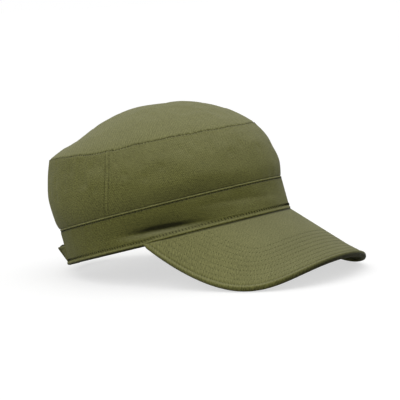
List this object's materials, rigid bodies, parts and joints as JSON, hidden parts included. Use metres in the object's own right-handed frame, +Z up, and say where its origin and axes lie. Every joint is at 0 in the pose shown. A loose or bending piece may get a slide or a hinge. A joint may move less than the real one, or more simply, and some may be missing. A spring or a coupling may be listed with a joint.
{
  "type": "soft army cap",
  "caption": "Soft army cap in olive cotton twill: domed top, tall crown wall, turned band, curved bill and hook-and-loop size adjuster.",
  "frame": {"origin": "centre of the head opening, at the band's lower edge", "axes": "+Z up when the cap stands on a level surface, -Y towards the bill, +X towards the wearer's left; the cap's own axis leans back 12.7 degrees from +Z"},
  "size_m": [0.1712, 0.2797, 0.1387],
  "materials": {
    "crown_twill": "washed cotton twill",
    "band_twill": "washed cotton twill",
    "sweatband_cotton": "plain cotton",
    "seam_tape": "woven tape",
    "stiffener": "open buckram",
    "padding": "felted pad",
    "label": "satin ribbon, blank",
    "board": "polyethylene sheet",
    "loop_pile": "brushed loop pile",
    "hook_plastic": "fine moulded hooks"
  },
  "bodies": {
    "cap": {"top_panel": "crown_twill", "crown_front_panel": "crown_twill", "crown_back_panel": "crown_twill", "front_buckram": "stiffener", "top_seam_tape": "seam_tape", "side_seam_tapes": "seam_tape", "outer_band": "band_twill", "band_interlining": "stiffener", "sweatband": "sweatband_cotton", "sweatband_pad": "padding", "arch_binding": "seam_tape", "care_label": "label", "bill_top_cover": "crown_twill", "bill_under_cover": "crown_twill", "bill_board": "board"},
    "loop_side": {"loop_tab": "band_twill", "loop_strip": "loop_pile"},
    "slider": {"tab_base": "band_twill"},
    "hook_side": {"hook_tab": "band_twill", "hook_strip": "hook_plastic"}
  },
  "joints": [
    {"name": "size_slide", "type": "hinge", "parent": "cap", "child": "slider", "pos_m": [0, 0.04268, -0.00075], "axis": [0, 0.2198, 0.9755], "range_deg": [-3, 6]},
    {"name": "hook_tab_peel", "type": "hinge", "parent": "slider", "child": "hook_side", "pos_m": [0.03204, 0.09681, -0.01295], "axis": [-0.1913, -0.5264, -0.8284], "range_deg": [0, 100]},
    {"name": "loop_tab_flex", "type": "hinge", "parent": "cap", "child": "loop_side", "pos_m": [-0.05253, 0.07109, -0.00715], "axis": [0.3347, -0.3841, -0.8605], "range_deg": [0, 25]}
  ]
}
